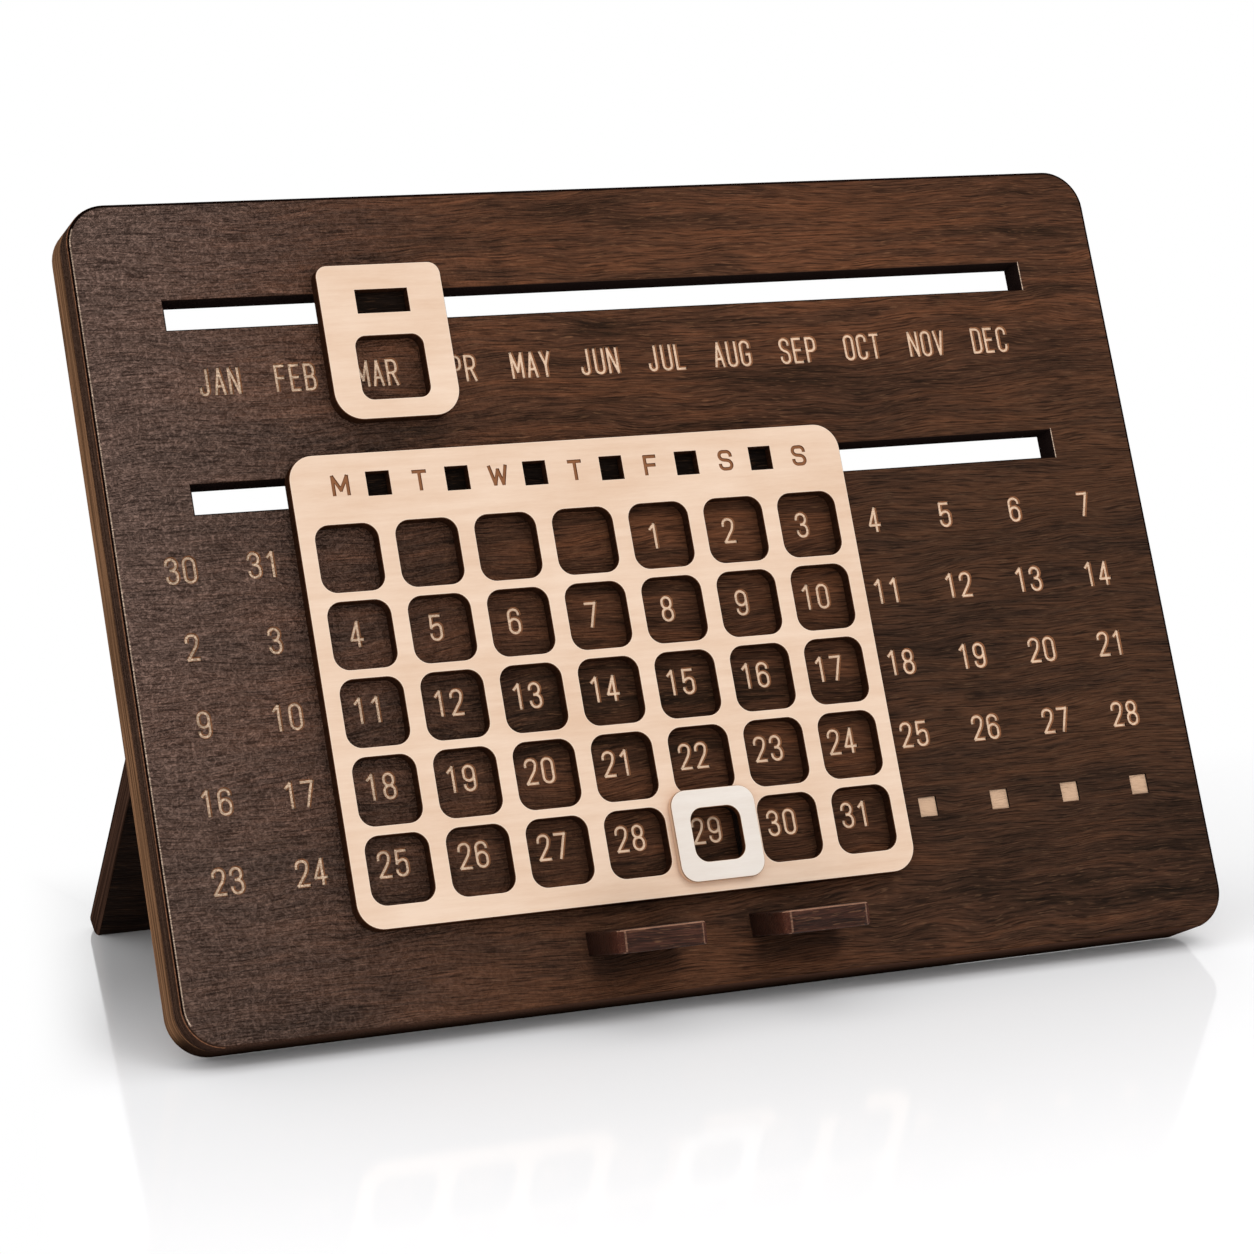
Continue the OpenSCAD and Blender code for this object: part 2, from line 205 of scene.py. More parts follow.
# The polish shows most under the calendar, where less light gets, and fades towards the reader.
polish = depth.fade(-0.28, -0.07, 0.03, 0.14) + depth.fade(-0.05, 0.04, 0.0, 0.3)
top = wire.node("ShaderNodeMixShader", links={0: polish, 1: matt, 2: gloss})
glow = wire.node("ShaderNodeEmission", links={"Color": (1, 1, 1, 1), "Strength": 1.0})
# The room's white takes over at some distance, sooner behind and to the left.
white = away.fade(0.22, 0.38)
white = white.math("MAXIMUM", white, depth.fade(0.09, 0.16))
white = white.math("MAXIMUM", white, (across - depth * 0.27).fade(-0.172, -0.146, 1.0, 0.0))
top = wire.node("ShaderNodeMixShader", links={0: white, 1: top, 2: glow})
wire.node("ShaderNodeOutputMaterial", links={0: top})
desk.data.materials.append(desk_white)

# The room is plain white to the eye and in the polish, and a little dimmer as light.
room = bpy.data.worlds.new("white_room")
room.use_nodes = True
room.node_tree.nodes.clear()
wire = Wire(room.node_tree)
seen = wire.node("ShaderNodeLightPath", out=0)
seen = seen.math("MAXIMUM", seen, wire.node("ShaderNodeLightPath", out=3))
sky = wire.node("ShaderNodeBackground",
                links={"Color": (1, 1, 1, 1), "Strength": seen.fade(0.0, 1.0, 0.85, 1.0)})
wire.node("ShaderNodeOutputWorld", links={0: sky})
bpy.context.scene.world = room


def soft_box(name, place, aim, width, height, power):
    """A rectangular lamp hung at place and turned to aim."""
    lamp = bpy.data.lights.new(name, "AREA")
    lamp.shape, lamp.size, lamp.size_y, lamp.energy = "RECTANGLE", width, height, power
    hung = bpy.data.objects.new(name, lamp)
    hung.matrix_world = (Matrix.Translation(place)
                         @ (Vector(aim) - Vector(place)).to_track_quat("-Z", "Y").to_matrix().to_4x4())
    bpy.context.scene.collection.objects.link(hung)


soft_box("front_soft_box", (0.3, -0.95, 1.25), (0, 0, 0.1), 0.7, 0.5, 4.0)
soft_box("left_soft_box", (-1.3, -0.6, 0.7), (0, 0, 0.1), 0.8, 0.8, 2.0)


# ---------------------------------------------------------------------------------------
# Front board. Dark walnut, 8 mm thick, oiled; the two slots are routed through it, and the
# months and dates are cut in with a laser, which leaves pale grooves with brown sides.

lean, front_t, rear_t = math.radians(24), 8.0, 8.0
board_w, board_h, corner_r, board_ease = 300.0, 220.0, 11.0, 0.9
slot_l, slot_h, slot_ease, month_line, week_line = 252.0, 8.0, 0.35, 189.3, 140.0
pattern_x, column_pitch, row_pitch = -1.0, 22.0, 20.4
number_drop, number_pitch, blank_drop = 18.3, 20.1, 98.7
tab_w, tab_t, tab_tilt, tab_y, tab_places = 25.2, 6.0, math.radians(9), 15.0, (-27.4, 19.4)
tab_play, blank_w, blank_deep, blank_ease = 0.1, 5.4, 0.6, 0.1
boards_back = -front_t - rear_t

# From the face of the boards (x along, y up the slope, z out) to the room, in millimetres.
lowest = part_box("front_board")[0]
ON_BOARD = (Matrix.Translation((0, lowest.y, (front_t + rear_t) * MM * math.sin(lean)))
            @ Matrix.Rotation(math.pi / 2 - lean, 4, "X") @ Matrix.Scale(MM, 4))


def outline(width, height, radius=0.0, up=None, foot_radius=None, steps=12, inset=0.0):
    """The rim of a plate with round corners; up is its top edge, above y = 0."""
    up = (height / 2 if up is None else up) - inset
    foot_radius = radius if foot_radius is None else foot_radius
    width, height = width - 2 * inset, height - 2 * inset
    points = []
    for quarter, (x, y, r) in enumerate(((1, up, radius), (-1, up, radius),
                                         (-1, up - height, foot_radius), (1, up - height, foot_radius))):
        r = max(r - inset, 0)
        middle = (x * (width / 2 - r), y - r if quarter < 2 else y + r)
        for step in range(steps + 1 if radius else 1):
            a = math.pi / 2 * (quarter + step / steps)
            points.append((middle[0] + r * math.cos(a), middle[1] + r * math.sin(a)) if radius
                          else (x * width / 2, y))
    return points


def solid(name, rims, turned=None):
    """A closed solid through a stack of rims, each a height and a list of points around it."""
    form = bmesh.new()
    rims = [[form.verts.new((x, y, z)) for x, y in points] for z, points in rims]
    form.faces.new(rims[0][::-1])
    form.faces.new(rims[-1])
    for lower, upper in zip(rims, rims[1:]):
        for i in range(len(lower)):
            j = (i + 1) % len(lower)
            form.faces.new((lower[i], lower[j], upper[j], upper[i]))
    if turned is not None:
        form.transform(turned)
    made = bpy.data.meshes.new(name)
    form.to_mesh(made)
    form.free()
    made = bpy.data.objects.new(name, made)
    bpy.context.scene.collection.objects.link(made)
    return made


def rolled(low, high, ease, sign=1):
    """Heights and insets up the edge of a plate whose two arrises are rounded by ease."""
    if not ease:
        return [(low, 0), (high, 0)]
    half = [(ease * (1 - math.cos(a)), sign * ease * (1 - math.sin(a)))
            for a in (0, math.pi / 6, math.pi / 3, math.pi / 2)]
    return ([(low + rise, inset) for rise, inset in half]
            + [(high - rise, inset) for rise, inset in half[::-1]])


def plate(name, low, high, ease, *shape, at=(0, 0), turned=None, **more):
    """A plate from z = low to z = high, in board millimetres, with rounded arrises."""
    rims = [(z, [(x + at[0], y + at[1]) for x, y in outline(*shape, inset=inset, **more)])
            for z, inset in rolled(low, high, ease)]
    return solid(name, rims, turned)


cutter_past = 5  # how far a cutter reaches out of both faces


def opening(low, high, ease, *shape, at=(0, 0), turned=None, **more):
    """A cutter for an opening through a plate, flared where it meets the plate's two faces."""
    edge = rolled(low, high, ease, -1)
    flare = edge[0][1]
    rims = [(z, [(x + at[0], y + at[1]) for x, y in outline(*shape, inset=inset, **more)])
            for z, inset in [(low - cutter_past, flare)] + edge + [(high + cutter_past, flare)]]
    return solid("opening", rims, turned)


def settle(piece):
    """Applies what is on the piece, so that only a plain mesh is left."""
    bpy.context.view_layer.update()
    done = bpy.data.meshes.new_from_object(piece.evaluated_get(bpy.context.evaluated_depsgraph_get()))
    piece.modifiers.clear()
    piece.data = done
    return piece


def carve(piece, *tools):
    """Cuts each tool's solid out of the piece and throws the tool away."""
    for tool in tools:
        cut = piece.modifiers.new("cut", "BOOLEAN")
        cut.operation, cut.solver, cut.object = "DIFFERENCE", "MANIFOLD", tool
        settle(piece)
        bpy.data.objects.remove(tool)
    return piece


def divide(piece, step_x=11.0, step_y=10.15, offset=0.47):
    """Lays a net of edges over a wide plate, so that the fine cuts to come stay local. The offset,
    a share of a step, keeps the net off the plate's own edges."""
    form = bmesh.new()
    form.from_mesh(piece.data)
    for axis, step in ((0, step_x), (1, step_y)):
        low, high = (pick(v.co[axis] for v in form.verts) for pick in (min, max))
        for i in range(math.ceil(low / step), math.ceil(high / step)):
            plane = Vector((0, 0, 0))
            plane[axis] = 1
            bmesh.ops.bisect_plane(form, geom=form.verts[:] + form.edges[:] + form.faces[:],
                                   plane_co=plane * (i + offset) * step, plane_no=plane)
    form.to_mesh(piece.data)
    form.free()


def mount(piece, body, slot, material, *nodes, where=None):
    """Carries a finished piece from board millimetres to its place and puts it on its body."""
    piece.data.transform(ON_BOARD if where is None else where)
    piece.data.shade_smooth()
    piece.data.set_sharp_from_angle(angle=math.radians(14))
    piece.data.materials.clear()
    piece.data.materials.append(material)
    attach(piece, body)
    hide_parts(*nodes)
    return piece


# Strokes of each character on a box 10 wide and 10 high. A point in the middle of a stroke is
# rounded; @ closes a stroke into a ring; the number after the slash is the width of the box.
STROKES = {
    "0": "@ 0,0 10,0 10,10 0,10", "1": "6,0 6,10; 1.5,8 6,10",
    "2": "0,7.3 0,10 10,10 10,6.2 0,0; 0,0 10,0",
    "3": "0,7.7 0,10 9.6,10 9.6,5.3 4,5.3; 4,5.3 10,5.3 10,0 0,0 0,2.3",
    "4": "7,0 7,10; 7,10 0,2.6; 0,2.6 10.5,2.6", "7": "0,10 10,10; 10,10 3.8,0",
    "5": "9.4,10 1,10; 1,10 0.6,5; 0.6,5 2.6,6.4 10,6.4 10,0 0,0 0,2.2",
    "6": "10,7.9 10,10 0,10 0,3; @ 0,0 10,0 10,6 0,6",
    "8": "@ 0.5,5.2 9.5,5.2 9.5,10 0.5,10; @ 0,0 10,0 10,5.2 0,5.2",
    "9": "@ 0,4 10,4 10,10 0,10; 10,7 10,0 0,0 0,2.1",
    "A": "0,0 5,10; 5,10 10,0; 1.7,3.2 8.3,3.2",
    "B": "0,0 0,10; 0,10 9.4,10 9.4,5.2 0,5.2; 0,5.2 10,5.2 10,0 0,0",
    "C": "10,7.4 10,10 0,10 0,0 10,0 10,2.6", "D": "0,0 0,10; 0,10 10,10 10,0 0,0",
    "E": "0,0 0,10; 0,10 9,10; 0,5.2 8,5.2; 0,0 9,0", "F": "0,0 0,10; 0,10 9,10; 0,5.1 8,5.1",
    "G": "10,7.4 10,10 0,10 0,0 10,0 10,4.6; 10,4.6 6,4.6", "J": "8,10 8,0 0,0 0,2.6",
    "L": "0,10 0,0; 0,0 9,0", "M": "0,0 0,10; 0,10 5,2.4; 5,2.4 10,10; 10,10 10,0 /1.2",
    "N": "0,0 0,10; 0,10 10,0; 10,0 10,10", "O": "@ 0,0 10,0 10,10 0,10",
    "P": "0,0 0,10; 0,10 10,10 10,4.6 0,4.6", "R": "0,0 0,10; 0,10 10,10 10,4.9 0,4.9; 5.5,4.9 10,0",
    "S": "10,7.6 10,10 0,10 0,5.6 10,4.6 10,0 0,0 0,2.4", "T": "0,10 10,10; 5,10 5,0",
    "U": "0,10 0,0 10,0 10,10", "V": "0,10 5,0; 5,0 10,10", "Y": "0,10 5,4.8; 5,4.8 10,10; 5,4.8 5,0",
    "W": "0,10 2.5,0; 2.5,0 5,8; 5,8 7.5,0; 7.5,0 10,10 /1.4",
}


def drawn(character, left, foot, width, height, cap):
    """The strokes of a character as lists of points, with a list for each and whether it is a ring."""
    text, *wide = STROKES[character].split("/")
    width *= float(wide[0]) if wide else 1
    found = []
    for stroke in text.split(";"):
        ring = "@" in stroke
        knots = [Vector((float(x) * width / 10, float(y) * height / 10))
                 for x, y in (pair.split(",") for pair in stroke.replace("@", "").split())]
        path = []
        for i, knot in enumerate(knots):
            if not ring and i in (0, len(knots) - 1):
                near = knots[1] if i == 0 else knots[-2]
                path.append(knot + (knot - near).normalized() * cap)
                continue
            before, after = knots[i - 1] - knot, knots[(i + 1) % len(knots)] - knot
            reach = min(width / 2, before.length / 2, after.length / 2)
            if not ring and i == 1:
                reach = min(width / 2, before.length * 0.95, after.length / 2)
            if not ring and i == len(knots) - 2:
                reach = min(width / 2, after.length * 0.95, before.length / 2)
            start, end = knot + before.normalized() * reach, knot + after.normalized() * reach
            for step in range(7):
                t = step / 6
                # A conic with the weight of a circle's quarter keeps the bowls full.
                near = (1 - t) ** 2, 2 * t * (1 - t) * 0.7071, t ** 2
                point = (start * near[0] + knot * near[1] + end * near[2]) / sum(near)
                if not path or (point - path[-1]).length > 0.02:
                    path.append(point)
        found.append(([(left + p.x, foot + p.y) for p in path], ring))
    return found, width


def lettered(words, width, height, gap, cap):
    """Strokes for (text, middle x, middle y) words; each pass holds one stroke of every character."""
    passes = []
    for text, x, y in words:
        widths = [width * (float(STROKES[c].split("/")[1]) if "/" in STROKES[c] else 1) for c in text]
        left = x - (sum(widths) + gap * (len(text) - 1)) / 2
        for character in text:
            strokes, wide = drawn(character, left, y - height / 2, width, height, cap)
            left += wide + gap
            for layer, stroke in enumerate(strokes):
                if layer == len(passes):
                    passes.append([])
                passes[layer].append(stroke)
    return passes


def groove_tree():
    """A geometry tree that runs a tapering groove cutter along every line of a flat drawing."""
    tree = bpy.data.node_groups.new("groove", "GeometryNodeTree")
    tree.interface.new_socket("Drawing", in_out="INPUT", socket_type="NodeSocketGeometry")
    for name in ("Floor Width", "Side Width", "Depth"):
        tree.interface.new_socket(name, in_out="INPUT", socket_type="NodeSocketFloat")
    tree.interface.new_socket("Material", in_out="INPUT", socket_type="NodeSocketMaterial")
    tree.interface.new_socket("Cutter", in_out="OUTPUT", socket_type="NodeSocketGeometry")
    wire = Wire(tree)
    given = tree.nodes.new("NodeGroupInput")
    drawing, floor, side, depth, material = (Wire(tree, given.outputs[i]) for i in range(5))
    line = wire.node("GeometryNodeMeshToCurve", links={"Mesh": drawing})
    line = line.node("GeometryNodeSetCurveNormal", {"mode": "Z_UP"}, {"Curve": line})
    section = wire.node("GeometryNodeCurvePrimitiveQuadrilateral", {"mode": "TRAPEZOID"},
                        {"Height": depth * 2, "Bottom Width": floor + side * 4, "Top Width": floor,
                         "Offset": 0.0})
    cutter = wire.node("GeometryNodeCurveToMesh",
                       links={"Curve": line, "Profile Curve": section, "Fill Caps": True})
    cutter = wire.node("GeometryNodeRealizeInstances", links={0: cutter})
    cutter = wire.node("GeometryNodeSetMaterial", links={"Geometry": cutter, "Material": material})
    wire.node("NodeGroupOutput", links={0: cutter})
    return tree


def engrave(piece, passes, tree, floor, side, depth, face, material):
    """Cuts the strokes into the face of a piece that lies at z = face."""
    for layer in passes:
        drawing = bpy.data.meshes.new("strokes")
        points, edges = [], []
        for path, ring in layer:
            first = len(points)
            points += [(x, y, face) for x, y in path]
            edges += [(i, i + 1) for i in range(first, len(points) - 1)]
            if ring:
                edges.append((len(points) - 1, first))
        drawing.from_pydata(points, edges, [])
        cutter = bpy.data.objects.new("strokes", drawing)
        bpy.context.scene.collection.objects.link(cutter)
        sweep = cutter.modifiers.new("groove", "NODES")
        sweep.node_group = tree
        inputs = {s.name: s.identifier for s in tree.interface.items_tree if s.in_out == "INPUT"}
        for name, value in (("Floor Width", floor), ("Side Width", side), ("Depth", depth),
                            ("Material", material)):
            sweep[inputs[name]] = value
        settle(cutter)
        carve(piece, cutter)


def wood_place(wire, where):
    """Millimetres along, up and out of the boards (or of the leg) from the object's own coordinates."""
    turn = where.to_euler()
    return wire.node("ShaderNodeMapping", {"vector_type": "TEXTURE"},
                     {0: wire.node("ShaderNodeTexCoord", out=3), 1: where.to_translation(),
                      2: Vector(turn), 3: (MM, MM, MM)})


def wood_facing(wire, where):
    """How far the surface looks along, up and out of the boards (or of the leg), -1 to 1 each."""
    normal = wire.node("ShaderNodeTexCoord", out=1)
    return wire.node("ShaderNodeVectorRotate", {"rotation_type": "EULER_XYZ", "invert": True},
                     {"Vector": normal, "Rotation": Vector(where.to_euler())})


def walnut(name, where, dark, warm, light, sheen=0.03, rough=0.46, flecks=0.32, sides=None,
           carved=False, tab_light_painted=False):
    """Oiled walnut with the grain along x; its cut sides stay dull when a tone is given for them, and then
    get painted shade where they face the desk and a painted highlight at the back edge. carved adds the
    front board's painted sheen haze over a crazed surface, painted tab shadows and painted arris highlight,
    its darker right end and foot, its scorched cuts and its lettering; the last flag adds the tabs' painted
    shade and highlights."""
    made, wire = new_material(name)
    spot = wood_place(wire, where)
    along, up, out = spot.parts()
    rightward, upward, facing = wood_facing(wire, where).parts()
    downward = 0 - upward
    square = facing.math("ABSOLUTE", facing)

    def grain(x, y, z, start, detail=3.0, rough=0.6):
        """Noise whose grains are 1/x mm long and 1/y mm wide."""
        place = wire.node("ShaderNodeVectorMath", {"operation": "MULTIPLY_ADD"},
                          {0: start, 1: (x, y, z), 2: (x * 900, y * 70, z * 30)})
        return place.noise(detail, rough)

    sway = (grain(0.012, 0.03, 0.05, spot, 2.0) - 0.5) * 14 + (grain(0.09, 0.2, 0.3, spot, 1.0) - 0.5) * 0.9
    swayed = wire.node("ShaderNodeCombineXYZ", links={0: along, 1: up + sway, 2: out})
    band = grain(0.008, 0.05, 0.05, swayed, 2.0)
    streak = grain(0.025, 0.3, 0.4, swayed, 4.0, 0.7)
    fibre = grain(0.08, 2.2, 2.0, swayed, 3.0, 0.7)
    pore = grain(0.11, 2.3, 1.8, swayed, 2.0, 0.5)
    fleck = grain(0.22, 2.8, 2.1, swayed, 2.0, 0.5)
    shade = band * 0.5 + streak * 0.5
    if carved:
        shade = shade + up.fade(165, 200) * along.fade(50, 90, 0.035, 0.0)
    base = shade.ramp((0.38, dark), (0.49, warm), (0.62, light))
    base = base.tint(fibre.fade(0.3, 0.7, 0.6, 1.4).grey(), 1.0, "MULTIPLY")
    base = base.tint(colour(20, 13, 10), pore.fade(0.52, 0.64) * 0.6)
    base = base.tint(colour(146, 104, 74), fleck.fade(0.58, 0.70) * flecks)
    height = fibre * 0.5 + fleck * 0.5 - pore
    rough = rough + pore * 0.12
    dull = square < 0.98
    if carved:
        # The right end and the foot are darker, less so towards the top.
        darker_right_and_foot = along.fade(40, 72)
        darker_right_and_foot = darker_right_and_foot.math("MAXIMUM", darker_right_and_foot, up.fade(22, 36, 0.8, 0.0)) * up.fade(115, 200, 1.0, 0.0)
        darker_right_and_foot = darker_right_and_foot.math("MAXIMUM", darker_right_and_foot, along.fade(88, 128, 0.0, 0.9) * up.fade(150, 185, 1.0, 0.0))
        darker_right_and_foot = darker_right_and_foot * up.fade(0, 60, 0.7, 1.0)
        base = base.tint((0.55, 0.64, 0.72, 1), darker_right_and_foot, "MULTIPLY")
        for x in tab_places:
            # A shadow is painted on the wood under each tab.
            beside = along - x
            painted_tab_shadow = beside.math("ABSOLUTE", beside).fade(10, 15, 1.0, 0.0) * up.fade(1, 9)
            base = base.tint(colour(24, 15, 11), painted_tab_shadow * up.fade(12, 15, 0.6, 0.0))
        # A pale grey haze painted towards the left end stands in for the sheen there; under it the surface
        # is crazed and curly.
        crack = grain(0.8, 1.3, 1.0, spot, 1.0) - 0.5
        crack = crack.math("ABSOLUTE", crack).fade(0.0, 0.05, 1.0, 0.0)
        curl = grain(0.55, 0.6, 0.5, spot, 1.0, 0.4)
        curl = curl.math("SINE", curl * 18)
        left_sheen_haze = along.fade(-165, 5, 1.0, 0.0)
        left_sheen_haze = left_sheen_haze * left_sheen_haze * up.fade(-20, 130, 0.52, 1.0)
        sheen_haze_crazing = fleck * 0.6 + streak * 0.4 + curl * 0.1 - crack * 0.12 - pore.fade(0.52, 0.62) * 0.22
        sheen_haze_crazing = sheen_haze_crazing.ramp((0.2, tone(77, 60, 53)), (0.72, tone(154, 127, 115)))
        base = base.tint(sheen_haze_crazing, left_sheen_haze * 0.85)
        rough_up = along.fade(-150, 60, 1.0, 0.0)
        base = base.tint(curl.fade(-1.0, 1.0, 0.88, 1.12).grey(), rough_up * (1 - left_sheen_haze), "MULTIPLY")
        height = height + left_sheen_haze * (curl * 0.7 - crack * 1.5) + rough_up * curl * 0.25
        # Everything cut inside the rim is scorched; letter floors are clean wood again.
        inside = (along.math("ABSOLUTE", along) < 145) * (up > 5) * (up < 215)
        dull = dull.math("MAXIMUM", dull, inside * (out < -0.3))
    if sides:
        # Cut sides show the wood's layers, with a painted highlight at the back edge; what looks at the
        # desk gets painted shade, darkest at the back.
        layer = grain(0.012, 0.016, 1.1, spot, 2.0)
        layer = layer.fade(0.36, 0.64, 0.45, 1.5) * out.fade(boards_back, boards_back + 2.5, 1.5, 1.0)
        cut = layer.grey().tint((*sides, 1), 1.0, "MULTIPLY")
        painted_underside_shade = out.fade(boards_back, 0).ramp((0.0, tone(16, 11, 9)), (0.5, tone(40, 28, 23)),
                                              (1.0, tone(66, 46, 37)))
        cut = cut.tint(painted_underside_shade, downward.fade(0.3, 0.75))
        base = base.tint(cut, (square < 0.96) * 0.9)
    if carved:
        # The arrises are dark; the left one gets a painted highlight, bright beside the face and brown
        # beside the side.
        arris = (square > 0.1) * (square < 0.98)
        left = arris * (rightward < -0.1)
        base = base.tint(colour(24, 14, 11), arris * (downward < 0.1))
        base = base.tint(colour(146, 100, 74), left * (square < 0.5))
        base = base.tint(colour(226, 198, 174),
                         (rightward < -0.23) * left * (out > -0.08) * fleck.fade(0.35, 0.6, 0.4, 1.0))
        # The slots' walls are black, the letters' slanted sides brown and their floors pale;
        # the blank squares at the lower right are a little greyer.
        base = base.tint(colour(32, 23, 21), inside * (square < 0.6))
        base = base.tint(colour(158, 110, 78), inside * (square > 0.4) * (square < 0.55))
        clean = grain(0.5, 1.4, 0.0, spot) * 0.7 + along.fade(-120, -30, 0.38, 0.42)
        clean = (clean - along.fade(40, 100) * 0.08).ramp((0.3, tone(204, 156, 120)),
                                                          (0.7, tone(248, 216, 186)))
        clean = clean.tint(colour(206, 168, 138), (up < 50) * (along > 60) * 0.8)
        base = base.tint(clean, inside * (facing > 0.9) * (out < -0.3) * (out > -1.2))
    if tab_light_painted:
        # Painted shade darkens a tab's long sides, most of all next to the board, and gives way to redder
        # wood towards the tip; painted highlights run along its upper arrises and down its rounded corners.
        side = rightward.math("ABSOLUTE", rightward)
        base = base.tint(colour(28, 13, 8), (square < 0.35) * out.fade(0, 22, 0.85, 0.45))
        base = base.tint(colour(88, 42, 28), (side > 0.55) * out.fade(10, 24) * 0.5)
        painted_tab_highlight = (upward > 0.25) * (square > 0.3) * (square < 0.97)
        painted_tab_highlight = painted_tab_highlight.math("MAXIMUM", painted_tab_highlight, (side > 0.38) * (side < 0.52) * 0.5)
        base = base.tint(colour(172, 128, 104), painted_tab_highlight * fleck.fade(0.3, 0.6, 0.5, 0.9))
    bump = wire.node("ShaderNodeBump", links={"Strength": 0.9, "Distance": 0.0006, "Height": height})
    wood = wire.node("ShaderNodeBsdfPrincipled", links={"Base Color": base, "Normal": bump,
                                                        "Roughness": rough, "Specular IOR Level": sheen})
    if sides:
        raw = wire.node("ShaderNodeBsdfPrincipled", links={"Base Color": base, "Normal": bump,
                                                           "Roughness": 0.9, "Specular IOR Level": 0.0})
        wood = wire.node("ShaderNodeMixShader", links={0: dull, 1: wood, 2: raw})
    wire.node("ShaderNodeOutputMaterial", links={0: wood})
    return made


walnut_face = walnut("walnut_face", ON_BOARD, tone(48, 32, 22), tone(79, 51, 36), tone(106, 66, 44),
                     sides=tone(72, 52, 41), carved=True)

front_board = plate("front_board_engraved", -front_t, 0, board_ease, board_w, board_h, corner_r,
                    at=(0, board_h / 2))
divide(front_board)
for line in (month_line, week_line):
    carve(front_board, opening(-front_t, 0, slot_ease, slot_l, slot_h, at=(pattern_x, line)))


def at_tab(x):
    """From a tab's own axes, y along it and z through it, to the boards' millimetres."""
    return Matrix.Translation((x, tab_y, 0)) @ Matrix.Rotation(tab_tilt, 4, "X")


def tab_mortise(x):
    """A cutter for the tilted mortise that a tab is glued in, right through both boards."""
    return opening(-30, 20, 0.0, tab_w + tab_play, tab_t + tab_play, turned=at_tab(x))


for x in tab_places:
    carve(front_board, tab_mortise(x))
for column in (6, 5, 4, 3):
    carve(front_board, plate("blank", -blank_deep, cutter_past, blank_ease, blank_w, blank_w,
                             at=(pattern_x + column * column_pitch, week_line - blank_drop)))

# The months stand at even gaps and not at even steps, so each has its own middle.
month_text_y = 171.0
months = {"JAN": -115.0, "FEB": -94.3, "MAR": -71.7, "APR": -49.3, "MAY": -27.9, "JUN": -8.0,
          "JUL": 11.9, "AUG": 31.5, "SEP": 51.6, "OCT": 71.4, "NOV": 91.5, "DEC": 111.5}
month_words = [(name, x, month_text_y) for name, x in months.items()]
# Thirteen columns show five weeks from any weekday on; 30 and 31 stand once more at the top left.
dates = []
for row in range(5):
    for column in range(1, 14):
        day = column - 6 + 7 * row
        if row == 0 and column < 3:
            day = 29 + column
        if 1 <= day <= 31:
            dates.append((str(day), pattern_x + (column - 7) * column_pitch,
                          week_line - number_drop - row * number_pitch))

groove = groove_tree()
for passes in (lettered(month_words, width=2.4, height=6.7, gap=1.6, cap=0.35),
               lettered(dates, width=2.8, height=6.3, gap=1.9, cap=0.4)):
    engrave(front_board, passes, groove, floor=0.62, side=0.26, depth=0.5, face=0, material=walnut_face)
mount(front_board, "stand", "walnut", walnut_face, "front_board")


# ---------------------------------------------------------------------------------------
# Rear board. A lighter, browner walnut layer, 8 mm thick, glued behind the front board; a
# wide channel behind each slot gives the keepers room, and the back leg is hinged to it.

walnut_back = walnut("walnut_back", ON_BOARD, tone(66, 43, 29), tone(98, 66, 45), tone(128, 90, 63),
                     sides=tone(118, 86, 62))
rear_ease, channel_l, channel_h, channel_ease = 0.4, slot_l + 10, 18.0, 0.3
rear_board = plate("rear_board_channelled", boards_back, -front_t, rear_ease, board_w, board_h, corner_r,
                   at=(0, board_h / 2))
for line in (month_line, week_line):
    carve(rear_board, opening(boards_back, -front_t, channel_ease, channel_l, channel_h,
                              at=(pattern_x, line)))
for x in tab_places:
    carve(rear_board, tab_mortise(x))
mount(rear_board, "stand", "walnut_back", walnut_back, "rear_board")


# ---------------------------------------------------------------------------------------
# Ledge tabs. Two walnut tenons glued right through both boards, tilted a little below
# square; their rounded tips carry a pen.

tab_l, tab_out, tip_r, tail_r, tab_ease = 44.0, 21.3, 3.2, 0.8, 0.7
walnut_trim = walnut("walnut_trim", ON_BOARD, tone(40, 21, 14), tone(70, 40, 29), tone(90, 55, 42),
                     sheen=0.1, rough=0.36, tab_light_painted=True)
for side, x in zip(("left", "right"), tab_places):
    tab = plate("ledge_tab_" + side + "_eased", -tab_t / 2, tab_t / 2, tab_ease, tab_w, tab_l, tip_r,
                up=tab_out, foot_radius=tail_r, turned=at_tab(x) @ Matrix.Rotation(math.pi / 2, 4, "X"))
    # The tail is trimmed flush with the back of the boards.
    carve(tab, opening(boards_back - 40, boards_back - cutter_past, 0, 80.0, 80.0, at=(x, tab_y)))
    mount(tab, "stand", "walnut", walnut_trim, "ledge_tab_" + side)


# ---------------------------------------------------------------------------------------
# Month slider. Laser-cut maple, 4 mm thick, its cut edges scorched brown; it stands a hair
# off the board on a dark runner whose tenon shows in the small upper hole.

plate_z, plate_t = 0.3, 4.0
plate_top = plate_z + plate_t
month_x = -68.7
slider_w, slider_h, slider_up, slider_r, slider_foot_r = 34.9, 42.2, 10.2, 3.3, 7.5
month_mortise_w, mortise_h, mortise_ease, maple_ease = 14.6, 6.4, 0.2, 0.3
month_window_w, month_window_h, month_window_r, month_window_drop = 18.9, 17.2, 3.0, 18.1


